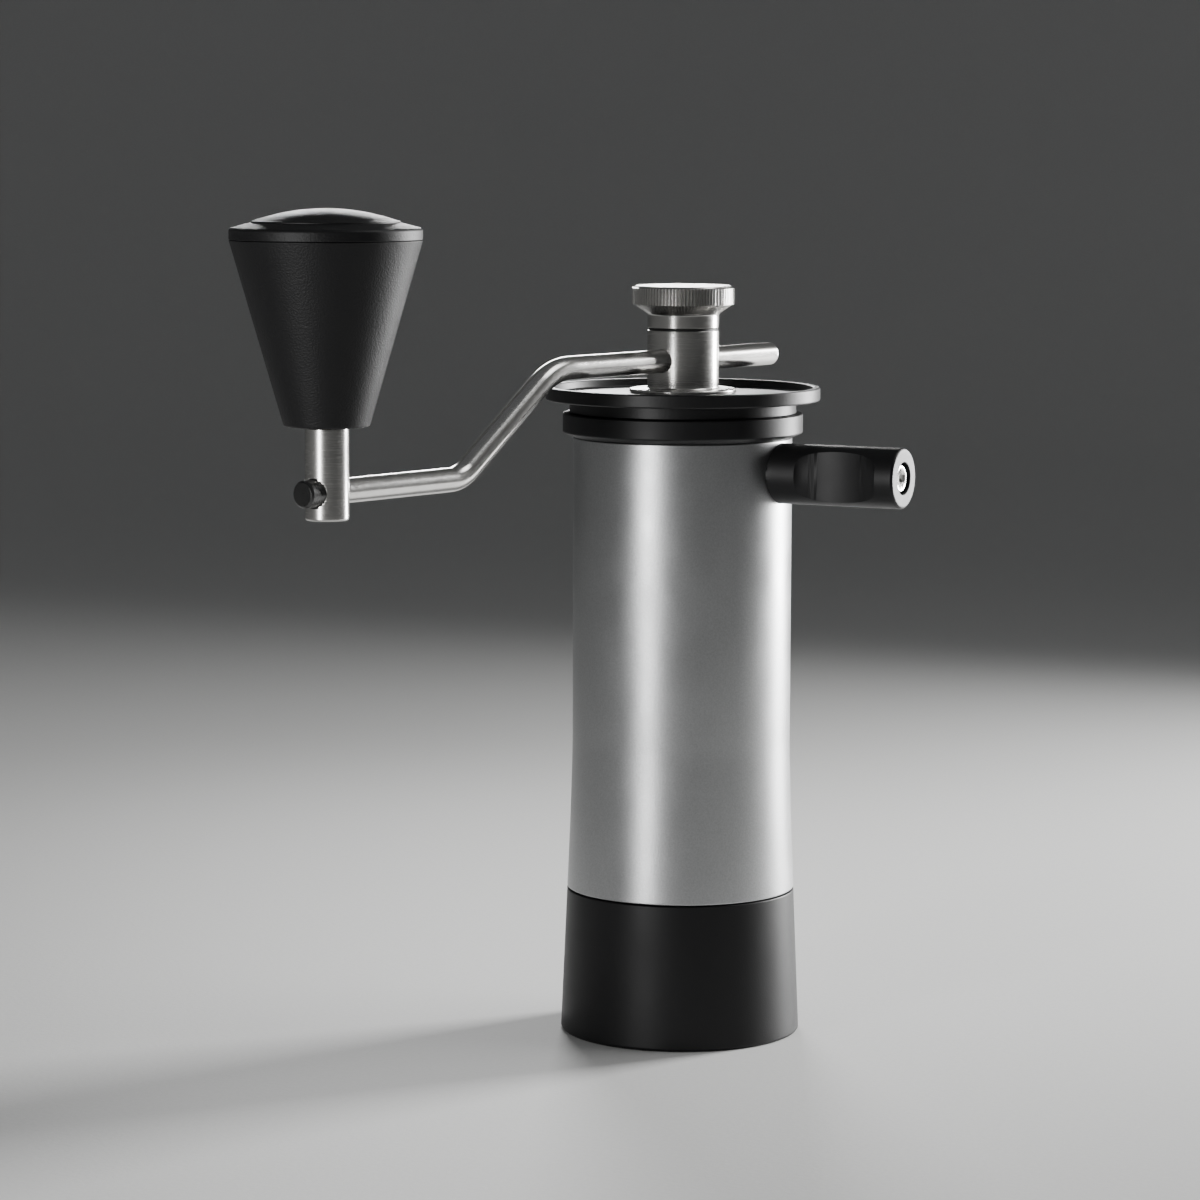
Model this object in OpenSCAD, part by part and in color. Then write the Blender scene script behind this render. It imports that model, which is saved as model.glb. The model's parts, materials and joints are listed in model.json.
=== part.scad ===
// Hand crank coffee grinder, lid and crank fitted, standing on its catch cup.
// Millimetres, +Z up. The origin is the centre of the cup's underside and +X runs along the hand peg.

/* [Body tube] */
// Outside diameter of the straight part of the tube
body_d = 57; // [50:0.5:70]
// Height of the tube, from the cup joint to the collar
body_h = 118.5; // [105:0.5:160]
// Wall thickness between the two bearing spiders
body_wall = 3; // [2.5:0.1:3.5]
// How far the wall flares out in radius at the cup joint
flare = 1.3; // [0:0.1:3]
// Height of the flared stretch
flare_h = 40; // [20:1:60]

/* [Catch cup] */
// Height of the cup below the joint
cup_h = 38; // [30:0.5:60]
// How far the cup's wall spreads in radius from the joint to the base
cup_spread = 1.6; // [0:0.1:4]
// Thickness of the cup's floor
cup_floor = 3; // [2:0.5:6]
// Height of the spigot that enters the tube
spigot_h = 7.5; // [5:0.5:8]
// Thickness of the spigot's wall
spigot_wall = 3.1; // [2.6:0.1:3.4]

/* [Hopper collar] */
// How far the collar stands out from the tube
collar_overhang = 2.75; // [1:0.05:5]
// Height of the collar's straight outer face
collar_h = 5; // [3:0.5:10]
// Height of the chamfer under the collar
collar_chamfer = 1.3; // [0.5:0.1:3]

/* [Lid] */
// Outside diameter of the lid's rim
lid_d = 71.4; // [66:0.2:90]
// Height of the rim
lid_rim_h = 3.5; // [2.5:0.1:8]
// Height of the neck between the collar and the rim
lid_neck_h = 3.3; // [2:0.1:8]
// Width of the raised rim round the dish
lid_rim_w = 1.8; // [1:0.1:4]
// Thickness of the floor of the dish
lid_floor = 1.5; // [1:0.1:2.2]

/* [Crank] */
// Distance from the spindle's axis to the knob's axis
crank_r = 138; // [120:1:180]
// Angle from the hand peg to the crank arm at rest
crank_angle = -101; // [-180:1:180]
// Diameter of the crank rod
rod_d = 6; // [5:0.5:7]
// Diameter of the hub's barrel
hub_d = 18.6; // [16:0.2:24]
// Diameter of the flange at the foot of the hub
hub_flange_d = 27.8; // [22:0.2:34]
// Height of the hub above its flange
hub_h = 15.1; // [12:0.1:25]
// Height of the rod's axis above the hub's flange
rod_rise = 7.3; // [5.5:0.1:8]
// How far the rod sticks out behind the spindle's axis
rod_stub = 38.7; // [36:0.5:60]
// How far the rod steps down on its way out
rod_drop = 25.1; // [10:0.1:40]
// Where the first bend's corner lies along the arm
bend_1 = 54; // [48:1:60]
// Where the second bend's corner lies along the arm
bend_2 = 90; // [80:1:100]
// Centreline radius of the first bend
bend_1_r = 22; // [10:1:26]
// Centreline radius of the second bend
bend_2_r = 12; // [9:1:20]

/* [Clamp knob] */
// Diameter over the knurl
clamp_d = 26.6; // [20:0.2:36]
// Height of the knurled band
clamp_knurl_h = 4.5; // [3:0.5:10]
// Number of ribs round the knurl
clamp_ribs = 90; // [30:2:120]
// Height of the plain neck below the cone
clamp_neck_h = 3.8; // [2:0.1:8]
// Diameter of the clamp's screw
clamp_screw_d = 8; // [6:1:10]

/* [Crank knob] */
// Diameter of the stem that carries the knob
stem_d = 10.4; // [9.6:0.2:14]
// Diameter of the knob at its rim
knob_d = 45.2; // [36:0.2:60]
// Diameter of the knob at its foot
knob_foot_d = 20.1; // [18:0.1:30]
// Height of the knob's shell
knob_h = 43.3; // [38:0.1:60]
// Height of the knob's rim band
knob_rim_h = 2.6; // [2:0.1:6]
// Height of the domed top above the rim band
knob_dome_h = 4.6; // [2:0.1:8]
// Thickness of the knob's walls
knob_wall = 2.2; // [1.5:0.1:3]

/* [Hand peg] */
// Diameter of the peg
peg_d = 15.6; // [14:0.2:20]
// Distance from the spindle's axis to the peg's end face
peg_reach = 62.6; // [50:0.2:80]
// Depth of the thumb scoop on each side
scoop_depth = 3.4; // [1:0.1:4]
// Length of the thumb scoop
scoop_l = 22; // [10:1:26]
// How far the scoop's middle lies past the middle of the peg
scoop_shift = 0.9; // [-3:0.1:3]
// Diameter of the peg's screw
peg_screw_d = 4; // [3:0.5:5]

/* [Grinding set] */
// Outside diameter of the ring burr
ring_burr_d = 42; // [38:0.5:43]
// Height of the ring burr
ring_burr_h = 14; // [12:0.5:18]
// Largest diameter of the cone burr
cone_burr_d = 33; // [28:0.5:34]
// Number of fine teeth on each burr
burr_teeth = 24; // [12:2:36]
// Diameter of the spindle
spindle_d = 8; // [7:0.5:8.5]

/* [Fits] */
// Radial clearance of a running fit
run_fit = 0.05; // [0.02:0.01:0.1]
// Radial clearance of a slip fit
slip_fit = 0.15; // [0.1:0.01:0.3]
// Gap between parts that move past each other
gap = 0.3; // [0.2:0.05:0.5]

/* [Hidden] */
$fn = 96;
eps = 0.01;

// Names of the separate pieces

// Radii of the outer shell
body_r = body_d / 2;
joint_r = body_r + flare;
cup_r = joint_r + cup_spread;
edge_soft = 0.6;

// Heights up the axis, from the cup's underside
joint_z = cup_h;
body_top = joint_z + body_h;
collar_bottom = body_top + collar_chamfer;
collar_top = collar_bottom + collar_h;
lid_gap = 0.05;
neck_bottom = collar_top + lid_gap;
rim_bottom = collar_top + lid_neck_h;
lid_top = rim_bottom + lid_rim_h;
dish_z = rim_bottom + lid_floor;
hub_bottom = dish_z + gap;
flange_h = 1.3;
flange_top = hub_bottom + flange_h;
hub_top = flange_top + hub_h;
rod_z = flange_top + rod_rise;
rod_low_z = rod_z - rod_drop;

// Stepped bore of the tube: a wide mouth for the cup, a seat for each spider and a plain middle
main_bore = body_r - body_wall;
seat_bore = main_bore + 0.5;
mouth_bore = seat_bore + 1.5;
mouth_h = 11;
lower_seat_h = 29;
upper_seat_h = 14.5;
mouth_top = joint_z + mouth_h;
lower_seat_top = mouth_top + lower_seat_h;
upper_seat_bottom = body_top - upper_seat_h;

// The cup's spigot and the steel ring on it
spigot_r = mouth_bore - slip_fit;
cavity_r = spigot_r - spigot_wall;
spigot_top = joint_z + spigot_h;
steel_ring_h = 1.4;
steel_ring_edge = 0.4;

// The carrier's flange seats on the step above the cup's mouth
carrier_r = seat_bore - run_fit;
carrier_bottom = joint_z + 8;
burr_bottom = carrier_bottom + 4;
burr_top = burr_bottom + ring_burr_h;
burr_lip = 2;
magnet_r = 1.4;
magnet_h = 2;
magnet_count = 6;
magnet_ring_r = mouth_bore - magnet_r - 0.6;
burr_screw_r = 1;
burr_screw_head_r = 1.7;
burr_screw_count = 3;
burr_screw_ring_r = (ring_burr_d / 2 + carrier_r) / 2;
burr_screw_head_h = 1.4;

// Bearings, all three rings on the spindle's diameter
spindle_r = spindle_d / 2;
bearing_w = 7;
race_t = 2;
ball_r = 1.98;
ball_count = 7;
ball_track_r = spindle_r + 3.5;
bearing_r = spindle_r + 7;
cage_w = 2 * ball_r + 1.2;
cage_t = 1.2;

// Spiders: a ring, three arms and a hub for a bearing
spider_arms = 3;
arm_w = 5;
spider_hub_r = bearing_r + 3;
spider_ring_t = 3.6;
spider_lip_r = bearing_r - 1.5;
spider_lip_h = 2;
lower_spider_bottom = burr_top;
lower_spider_top = lower_seat_top;
lower_bearing_z = lower_spider_bottom + 5;
upper_spider_bottom = upper_seat_bottom;
upper_spider_top = body_top - 4;
upper_bearing_z = upper_spider_top - bearing_w - 1;
arm_h = 8;

// Spindle, from the dial's thread up to the hexagon that the crank drives
dial_h = 6.5;
dial_r = cone_burr_d / 2 - 3.5;
cone_bottom = burr_bottom - 2.2;
dial_top = cone_bottom - gap;
dial_bottom = dial_top - dial_h;
dial_thread_r = spindle_r - 1;
spindle_bottom = dial_bottom - 2;
flat_w = spindle_d * 0.8;
cone_top = cone_bottom + 14;
shoulder_r = spindle_r + 1.5;
shoulder_bottom = lower_bearing_z - 2;
hex_w = spindle_d * 0.75;
hex_bottom = upper_bearing_z + bearing_w + 1.5;
hex_top = hex_bottom + 9.5;
spring_r = spindle_r + 1.2;
spring_wire_r = 0.5;
cone_burr_r = cone_burr_d / 2;
cone_shoulder_h = 3.5;
cone_top_r = spindle_r + 4.5;
burr_gap = 0.5;

// Click detent between the cone burr and the dial
click_ball_r = 1.5;
click_ring_r = dial_r - 3;
click_drop = 0.75;
click_count = 2;
click_pocket_h = 5;
click_notches = 30;

// Bush, shank and seal in the lid
shank_r = hex_w / 2 / cos(30) + 3;
bush_t = 2;
bush_r = shank_r + run_fit + bush_t;
lid_boss_r = bush_r + 2.5;
shank_bottom = hex_bottom + 1;
lid_clip_h = 0.8;
lid_boss_bottom = shank_bottom + lid_clip_h + 1.4;
lid_spigot_h = 4.4;
collar_bore = seat_bore + 0.6;
lid_spigot_r = collar_bore - slip_fit;
lid_spigot_wall = 3;
seal_r = 0.9;
seal_z = neck_bottom - lid_spigot_h / 2;
neck_r = body_r + 1;
collar_spigot_wall = 2;

// The crank rod runs in a plane that stands on the spindle's axis
rod_r = rod_d / 2;
rod_slope = atan(rod_drop / (bend_2 - bend_1));
stem_r = stem_d / 2;
stem_bottom = rod_low_z - 6.5;
stem_top = rod_low_z + 15.2;
rod_cap_r = rod_r + 0.3;
rod_cap_start = stem_r - 2.2;
rod_cap_end = stem_r + 3.4;
rod_thread_r = rod_r - 1;

// Clamp knob, from the washer up
washer_t = 0.4;
clamp_bottom = hub_top + washer_t;
clamp_neck_top = clamp_bottom + clamp_neck_h;
clamp_cone_h = 2.3;
clamp_knurl_z = clamp_neck_top + clamp_cone_h;
clamp_knurl_top = clamp_knurl_z + clamp_knurl_h;
clamp_edge = 0.5;
clamp_r = clamp_d / 2;
rib_depth = 0.3;
clamp_screw_r = clamp_screw_d / 2;

// Crank knob, from its foot up
knob_bottom = stem_top + gap;
shell_top = knob_bottom + knob_h;
part_line = 0.3;
cap_bottom = shell_top + part_line;
cap_rim_top = cap_bottom + knob_rim_h;
knob_top = cap_rim_top + knob_dome_h;
knob_r = knob_d / 2;
knob_foot_r = knob_foot_d / 2;
knob_shell_top_r = knob_r - 0.3;
axle_r = 3.5;
axle_thread_r = 2.5;
axle_thread_l = 7;
axle_head_r = 5.2;
axle_head_h = 3;
head_washer_t = 0.6;
knob_bush_r = axle_r + run_fit + 1.5;
knob_tube_r = knob_bush_r + 2;
bush_l = 8;
knob_hollow_z = knob_bottom + 9;
knob_tube_top = shell_top - 7;
axle_top = knob_tube_top + 1;

// Hand peg and its screw
peg_r = peg_d / 2;
peg_z = upper_spider_top - 4.4;
peg_face_edge = 0.7;
peg_head_r = 3.5;
peg_head_h = 4;
peg_bore_r = peg_head_r + 0.6;
peg_head_sink = 0.7;
peg_bore_depth = peg_head_h + peg_head_sink;
peg_head_x = peg_reach - peg_bore_depth;
peg_screw_depth = 14;
dowel_r = 1.25;
dowel_l = 6.5;
dowel_drop = 5;
scoop_x = (body_r + peg_reach) / 2 + scoop_shift;

// Radius of the tube's outside at height z
function tube_r(z) = z > joint_z + flare_h ? body_r
    : body_r + flare * pow(1 - (z - joint_z) / flare_h, 1.4);

// ---------- shared shapes ----------

// A ring with a square section
module ring(r_out, r_in, h) {
    difference() {
        cylinder(r = r_out, h = h);
        translate([0, 0, -1]) cylinder(r = r_in, h = h + 2);
    }
}

// Copies of the children in a ring round Z
module around(count, offset = 0) {
    for (i = [0:count - 1]) rotate([0, 0, offset + i * 360 / count]) children();
}

// A bar of hexagonal section, measured across its flats
module hex_bar(across, h) {
    cylinder(r = across / 2 / cos(30), h = h, $fn = 6);
}

// A round wire wound into a spring of the given height, standing on z = 0
module coil_spring(r, wire_r, h, turns) {
    steps = 14;
    sides = 6;
    rings = turns * steps;
    climb = (h - 2 * wire_r) / rings;
    points = [for (i = [0:rings]) for (k = [0:sides - 1])
        let (a = i * 360 / steps, b = k * 360 / sides)
        [(r + wire_r * cos(b)) * cos(a), (r + wire_r * cos(b)) * sin(a),
            wire_r + i * climb + wire_r * sin(b)]];
    walls = [for (i = [0:rings - 1]) for (k = [0:sides - 1])
        let (n = (k + 1) % sides)
        [i * sides + k, (i + 1) * sides + k, (i + 1) * sides + n, i * sides + n]];
    first_end = [[for (k = [0:sides - 1]) k]];
    last_end = [[for (k = [0:sides - 1]) rings * sides + sides - 1 - k]];
    polyhedron(points = points, faces = concat(walls, first_end, last_end));
}

// A split retaining ring, open on one side
module circlip(r_in, r_out, h) {
    difference() {
        ring(r_out, r_in, h);
        translate([r_in, 0, h / 2]) cube([3 * (r_out - r_in) + 1, 2.4, h + 2], center = true);
    }
}

// The turned groove that the balls run in
module ball_track() {
    translate([0, 0, bearing_w / 2]) rotate_extrude() translate([ball_track_r, 0])
        circle(r = ball_r + run_fit);
}

module outer_race(z) {
    translate([0, 0, z]) difference() {
        ring(bearing_r, bearing_r - race_t, bearing_w);
        ball_track();
    }
}

module inner_race(z) {
    translate([0, 0, z]) difference() {
        ring(spindle_r + race_t, spindle_r + eps, bearing_w);
        ball_track();
    }
}

module bearing_balls(z) {
    translate([0, 0, z + bearing_w / 2]) around(ball_count) translate([ball_track_r, 0, 0])
        sphere(r = ball_r);
}

module bearing_cage(z) {
    translate([0, 0, z + bearing_w / 2]) difference() {
        translate([0, 0, -cage_w / 2]) ring(ball_track_r + cage_t / 2, ball_track_r - cage_t / 2, cage_w);
        around(ball_count) rotate([0, 90, 0]) cylinder(r = ball_r + run_fit, h = bearing_r);
    }
}

// A bearing seat on three arms inside a ring
module spider(bottom, top, ring_bottom_r, bearing_z) {
    hub_bottom_z = bearing_z - spider_lip_h;
    difference() {
        union() {
            translate([0, 0, bottom]) ring(carrier_r, carrier_r - spider_ring_t, top - bottom);
            translate([0, 0, bottom]) ring(carrier_r, ring_bottom_r, 2);
            translate([0, 0, hub_bottom_z]) cylinder(r = spider_hub_r, h = bearing_w + spider_lip_h);
            around(spider_arms) translate([spider_hub_r - 1, -arm_w / 2, hub_bottom_z])
                cube([carrier_r - spider_ring_t / 2 - spider_hub_r + 1, arm_w, arm_h]);
        }
        translate([0, 0, bearing_z]) cylinder(r = bearing_r + eps, h = bearing_w + 1);
        translate([0, 0, hub_bottom_z - 1]) cylinder(r = spider_lip_r, h = bearing_w);
    }
}

// ---------- cup ----------

module catch_cup() {
    color("#17171a") difference() {
        rotate_extrude() polygon([
            [0, 0],
            [cup_r - edge_soft, 0],
            [cup_r, edge_soft],
            [joint_r, joint_z - part_line],
            [spigot_r, joint_z - part_line],
            [spigot_r, spigot_top - steel_ring_h],
            [0, spigot_top - steel_ring_h],
        ]);
        translate([0, 0, cup_floor + 2]) cylinder(r = cavity_r, h = spigot_top);
        translate([0, 0, cup_floor]) cylinder(r1 = cavity_r - 2, r2 = cavity_r, h = 2 + eps);
    }
}

module cup_steel_ring() {
    color("silver") translate([0, 0, spigot_top - steel_ring_h])
        ring(spigot_r - steel_ring_edge, cavity_r, steel_ring_h);
}

// ---------- housing ----------

module body_tube() {
    flare_steps = 8;
    wall = [for (i = [0:flare_steps]) let (z = joint_z + i * flare_h / flare_steps) [tube_r(z), z]];
    color("#b9bbbe") difference() {
        rotate_extrude() polygon(concat(
            wall,
            [
                [body_r, body_top],
                [seat_bore, body_top],
                [seat_bore, upper_seat_bottom],
                [main_bore, upper_seat_bottom],
                [main_bore, lower_seat_top],
                [seat_bore, lower_seat_top],
                [seat_bore, mouth_top],
                [mouth_bore, mouth_top],
                [mouth_bore, joint_z],
            ]
        ));
        translate([main_bore - 1, 0, peg_z]) rotate([0, 90, 0])
            cylinder(r = peg_screw_d / 2 + slip_fit, h = 8);
        translate([seat_bore - 1, 0, peg_z - dowel_drop]) rotate([0, 90, 0])
            cylinder(r = dowel_r, h = dowel_l);
    }
}

module hopper_collar() {
    outer = body_r + collar_overhang;
    color("#141416") rotate_extrude() polygon([
        [seat_bore - run_fit - collar_spigot_wall, upper_spider_top],
        [seat_bore - run_fit, upper_spider_top],
        [seat_bore - run_fit, body_top],
        [body_r, body_top],
        [outer, collar_bottom],
        [outer, collar_top],
        [collar_bore, collar_top],
        [collar_bore, body_top],
        [seat_bore - run_fit - collar_spigot_wall, body_top],
    ]);
}

// The scoop's plan is an ellipse, so its floor is nearly flat and its ends curve up steeply
module scoop_outline() {
    steps = 36;
    polygon([for (i = [0:steps - 1]) let (a = i * 360 / steps)
        [scoop_l / 2 * cos(a), scoop_depth * sin(a)]]);
}

module hand_peg() {
    color("#151517") difference() {
        translate([body_r - 4, 0, peg_z]) rotate([0, 90, 0]) union() {
            cylinder(r = peg_r, h = peg_reach - body_r + 4 - peg_face_edge);
            translate([0, 0, peg_reach - body_r + 4 - peg_face_edge])
                cylinder(r1 = peg_r, r2 = peg_r - peg_face_edge, h = peg_face_edge);
        }
        translate([0, 0, peg_z - 2 * peg_r]) cylinder(r = body_r + eps, h = 4 * peg_r);
        for (side = [-1, 1])
            translate([scoop_x, side * peg_r, peg_z - 2 * peg_r]) linear_extrude(4 * peg_r) scoop_outline();
        translate([peg_head_x, 0, peg_z]) rotate([0, 90, 0])
            cylinder(r = peg_bore_r, h = peg_bore_depth + 1);
        translate([body_r - 5, 0, peg_z]) rotate([0, 90, 0])
            cylinder(r = peg_screw_d / 2 + slip_fit, h = peg_head_x - body_r + 6);
        translate([seat_bore, 0, peg_z - dowel_drop]) rotate([0, 90, 0])
            cylinder(r = dowel_r, h = dowel_l + 0.5);
    }
}

module peg_screw() {
    color("#c8cacc") translate([peg_head_x, 0, peg_z]) rotate([0, 90, 0]) difference() {
        union() {
            cylinder(r = peg_head_r, h = peg_head_h);
            translate([0, 0, peg_screw_depth - peg_head_x])
                cylinder(r = peg_screw_d / 2, h = peg_head_x - peg_screw_depth + eps);
        }
        translate([0, 0, peg_head_h / 2]) hex_bar(peg_screw_d * 0.75, peg_head_h);
    }
}

module peg_dowel() {
    color("silver") translate([seat_bore, 0, peg_z - dowel_drop]) rotate([0, 90, 0])
        cylinder(r = dowel_r, h = dowel_l);
}

module upper_spider() {
    color("#8d9094") difference() {
        spider(upper_spider_bottom, upper_spider_top, carrier_r - spider_ring_t, upper_bearing_z);
        translate([peg_screw_depth, 0, peg_z]) rotate([0, 90, 0]) cylinder(r = peg_screw_d / 2, h = 20);
    }
}

module upper_bearing_outer_race() {
    color("#c4c6c8") outer_race(upper_bearing_z);
}

module lower_spider() {
    screw_top = lower_spider_bottom + 7;
    color("#8d9094") difference() {
        spider(lower_spider_bottom, lower_spider_top, ring_burr_d / 2 - 1, lower_bearing_z);
        around(burr_screw_count, 60) translate([burr_screw_ring_r, 0, lower_spider_bottom - 1])
            cylinder(r = burr_screw_r, h = screw_top - lower_spider_bottom + 1);
    }
}

module lower_bearing_outer_race() {
    color("#c4c6c8") outer_race(lower_bearing_z);
}

// One slanting groove between two burr teeth, cut along a line on the cone
module burr_groove(z_low, r_low, z_high, r_high, skew, depth) {
    run = sqrt(pow(z_high - z_low, 2) + pow(r_high - r_low, 2));
    lean = atan2(r_high - r_low, z_high - z_low);
    translate([r_low, 0, z_low]) rotate([0, lean, 0]) rotate([skew, 0, 0]) translate([0, 0, -3])
        linear_extrude(run + 8) polygon([[-depth, 0], [3, -depth], [3, 1.6 * depth]]);
}

module ring_burr() {
    outer = ring_burr_d / 2;
    throat_z = burr_bottom + 4;
    throat_r = cone_burr_r + burr_gap - 2.2;
    mouth_r = outer - 2.4;
    color("#8a8c90") difference() {
        translate([0, 0, burr_bottom]) cylinder(r = outer - run_fit, h = ring_burr_h);
        translate([0, 0, burr_bottom - 1]) cylinder(r = throat_r, h = ring_burr_h + 2);
        translate([0, 0, throat_z]) cylinder(r1 = throat_r, r2 = mouth_r, h = burr_top - throat_z + eps);
        translate([0, 0, burr_bottom - eps])
            cylinder(r1 = cone_burr_r + burr_gap, r2 = cone_burr_r + burr_gap, h = 1 + 2 * eps);
        translate([0, 0, burr_bottom + 1])
            cylinder(r1 = cone_burr_r + burr_gap, r2 = throat_r, h = throat_z - burr_bottom - 1 + eps);
        around(burr_teeth) mirror([1, 0, 0])
            burr_groove(throat_z, -throat_r, burr_top, -mouth_r, 20, 0.8);
    }
}

module burr_carrier() {
    outer = ring_burr_d / 2;
    color("#26272a") difference() {
        union() {
            translate([0, 0, carrier_bottom])
                cylinder(r = mouth_bore - run_fit, h = mouth_top - carrier_bottom);
            translate([0, 0, carrier_bottom]) cylinder(r = carrier_r, h = burr_top - carrier_bottom);
        }
        translate([0, 0, carrier_bottom - 1]) cylinder(r = outer - burr_lip, h = ring_burr_h + 8);
        translate([0, 0, burr_bottom]) cylinder(r = outer, h = ring_burr_h + 1);
        around(burr_screw_count, 60) translate([burr_screw_ring_r, 0, carrier_bottom - 1]) {
            cylinder(r = burr_screw_r, h = ring_burr_h + 8);
            cylinder(r = burr_screw_head_r, h = burr_screw_head_h + 1.2);
        }
        around(magnet_count, 30) translate([magnet_ring_r, 0, carrier_bottom - 1])
            cylinder(r = magnet_r, h = magnet_h + 1.1);
    }
}

module burr_screws() {
    head_z = carrier_bottom + 0.2;
    color("silver") around(burr_screw_count, 60) translate([burr_screw_ring_r, 0, head_z]) difference() {
        union() {
            cylinder(r = burr_screw_head_r - run_fit, h = burr_screw_head_h);
            cylinder(r = burr_screw_r, h = lower_spider_bottom + 6 - head_z);
        }
        translate([0, 0, -1]) hex_bar(1.5, 1.8);
    }
}

module cup_magnets() {
    color("#9a9ca0") around(magnet_count, 30) translate([magnet_ring_r, 0, carrier_bottom + 0.1])
        cylinder(r = magnet_r, h = magnet_h);
}

// ---------- bearings' rolling parts ----------

module upper_bearing_balls() {
    color("white") bearing_balls(upper_bearing_z);
}

module upper_bearing_cage() {
    color("#b08d57") bearing_cage(upper_bearing_z);
}

module lower_bearing_balls() {
    color("white") bearing_balls(lower_bearing_z);
}

module lower_bearing_cage() {
    color("#b08d57") bearing_cage(lower_bearing_z);
}

// ---------- spindle ----------

module spindle() {
    clip_z = lower_bearing_z + bearing_w;
    color("#c8cacc") difference() {
        union() {
            translate([0, 0, spindle_bottom]) cylinder(r = dial_thread_r, h = cone_bottom - spindle_bottom);
            intersection() {
                translate([0, 0, cone_bottom]) cylinder(r = spindle_r, h = cone_top + 2 - cone_bottom);
                translate([0, 0, cone_bottom]) translate([-flat_w / 2, -10, 0]) cube([flat_w, 20, 30]);
            }
            translate([0, 0, cone_top + 2]) cylinder(r = spindle_r, h = hex_bottom - cone_top - 2);
            translate([0, 0, shoulder_bottom])
                cylinder(r = shoulder_r, h = lower_bearing_z - shoulder_bottom);
            translate([0, 0, hex_bottom - eps]) hex_bar(hex_w, hex_top - hex_bottom);
        }
        translate([0, 0, clip_z]) ring(spindle_r + 1, spindle_r - 0.5, 0.9);
    }
}

module upper_bearing_inner_race() {
    color("#c4c6c8") inner_race(upper_bearing_z);
}

module lower_bearing_inner_race() {
    color("#c4c6c8") inner_race(lower_bearing_z);
}

module spindle_circlip() {
    color("#303236") translate([0, 0, lower_bearing_z + bearing_w + 0.05])
        circlip(spindle_r - 0.5 + eps, spindle_r + 1.6, 0.8);
}

// ---------- cone burr and dial ----------

module cone_burr() {
    shoulder_z = cone_bottom + cone_shoulder_h;
    color("#8a8c90") difference() {
        union() {
            translate([0, 0, cone_bottom]) cylinder(r = cone_burr_r, h = cone_shoulder_h);
            translate([0, 0, shoulder_z])
                cylinder(r1 = cone_burr_r, r2 = cone_top_r, h = cone_top - shoulder_z);
        }
        intersection() {
            translate([0, 0, cone_bottom - 1])
                cylinder(r = spindle_r + run_fit, h = cone_top - cone_bottom + 2);
            translate([-flat_w / 2 - run_fit, -10, cone_bottom - 2]) cube([flat_w + 2 * run_fit, 20, 30]);
        }
        around(burr_teeth) burr_groove(shoulder_z, cone_burr_r, cone_top, cone_top_r, 20, 0.8);
        around(click_count) translate([click_ring_r, 0, cone_bottom - 1])
            cylinder(r = click_ball_r + run_fit, h = click_pocket_h + 1);
    }
}

module burr_spring() {
    color("silver") translate([0, 0, cone_top + 0.05])
        coil_spring(spring_r, spring_wire_r, shoulder_bottom - cone_top - 0.1, 3);
}

module click_balls() {
    color("white") around(click_count) translate([click_ring_r, 0, cone_bottom - click_drop + click_ball_r])
        sphere(r = click_ball_r);
}

module click_springs() {
    low = cone_bottom - click_drop + 2 * click_ball_r + 0.05;
    color("silver") around(click_count) translate([click_ring_r, 0, low])
        coil_spring(click_ball_r - 0.4, 0.25, cone_bottom + click_pocket_h - low - 0.05, 3);
}

module grind_dial() {
    grip_count = 24;
    color("#26272a") difference() {
        translate([0, 0, dial_bottom]) cylinder(r = dial_r, h = dial_h);
        translate([0, 0, dial_bottom - 1]) cylinder(r = dial_thread_r + run_fit, h = dial_h + 2);
        around(grip_count) translate([dial_r + 0.7, 0, dial_bottom - 1])
            cylinder(r = 1.3, h = dial_h - 0.5);
        translate([0, 0, cone_bottom - click_drop + click_ball_r]) rotate_extrude()
            translate([click_ring_r, 0]) circle(r = click_ball_r + run_fit);
        around(click_notches) translate([click_ring_r, 0, cone_bottom - click_drop + click_ball_r - 0.2])
            sphere(r = click_ball_r + run_fit, $fn = 32);
    }
}

// ---------- lid ----------

module lid() {
    rim_r = lid_d / 2;
    soft = 0.4;
    inner_top = dish_z - 3;
    color("#18181b") difference() {
        rotate_extrude() polygon([
            [0, lid_boss_bottom],
            [lid_boss_r, lid_boss_bottom],
            [lid_boss_r, inner_top],
            [lid_spigot_r - lid_spigot_wall, inner_top],
            [lid_spigot_r - lid_spigot_wall, neck_bottom - lid_spigot_h],
            [lid_spigot_r, neck_bottom - lid_spigot_h],
            [lid_spigot_r, neck_bottom],
            [neck_r, neck_bottom],
            [neck_r, rim_bottom],
            [rim_r - soft, rim_bottom],
            [rim_r, rim_bottom + soft],
            [rim_r, lid_top - soft],
            [rim_r - soft, lid_top],
            [rim_r - lid_rim_w, lid_top],
            [rim_r - lid_rim_w - 0.6, dish_z],
            [0, dish_z],
        ]);
        translate([0, 0, lid_boss_bottom - 1]) cylinder(r = bush_r, h = 30);
        translate([0, 0, seal_z]) rotate_extrude() translate([lid_spigot_r - 0.6, 0]) circle(r = seal_r);
    }
}

module lid_bush() {
    color("#b08d57") translate([0, 0, lid_boss_bottom])
        ring(bush_r, shank_r + run_fit, dish_z - lid_boss_bottom);
}

module lid_seal() {
    color("#333333") translate([0, 0, seal_z]) rotate_extrude()
        translate([lid_spigot_r - 0.6, 0]) circle(r = seal_r - 0.25);
}

// ---------- crank ----------

// Puts children that are drawn along +X onto the crank arm
module on_arm(distance = 0, z = 0) {
    rotate([0, 0, crank_angle]) translate([distance, 0, z]) children();
}

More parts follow.
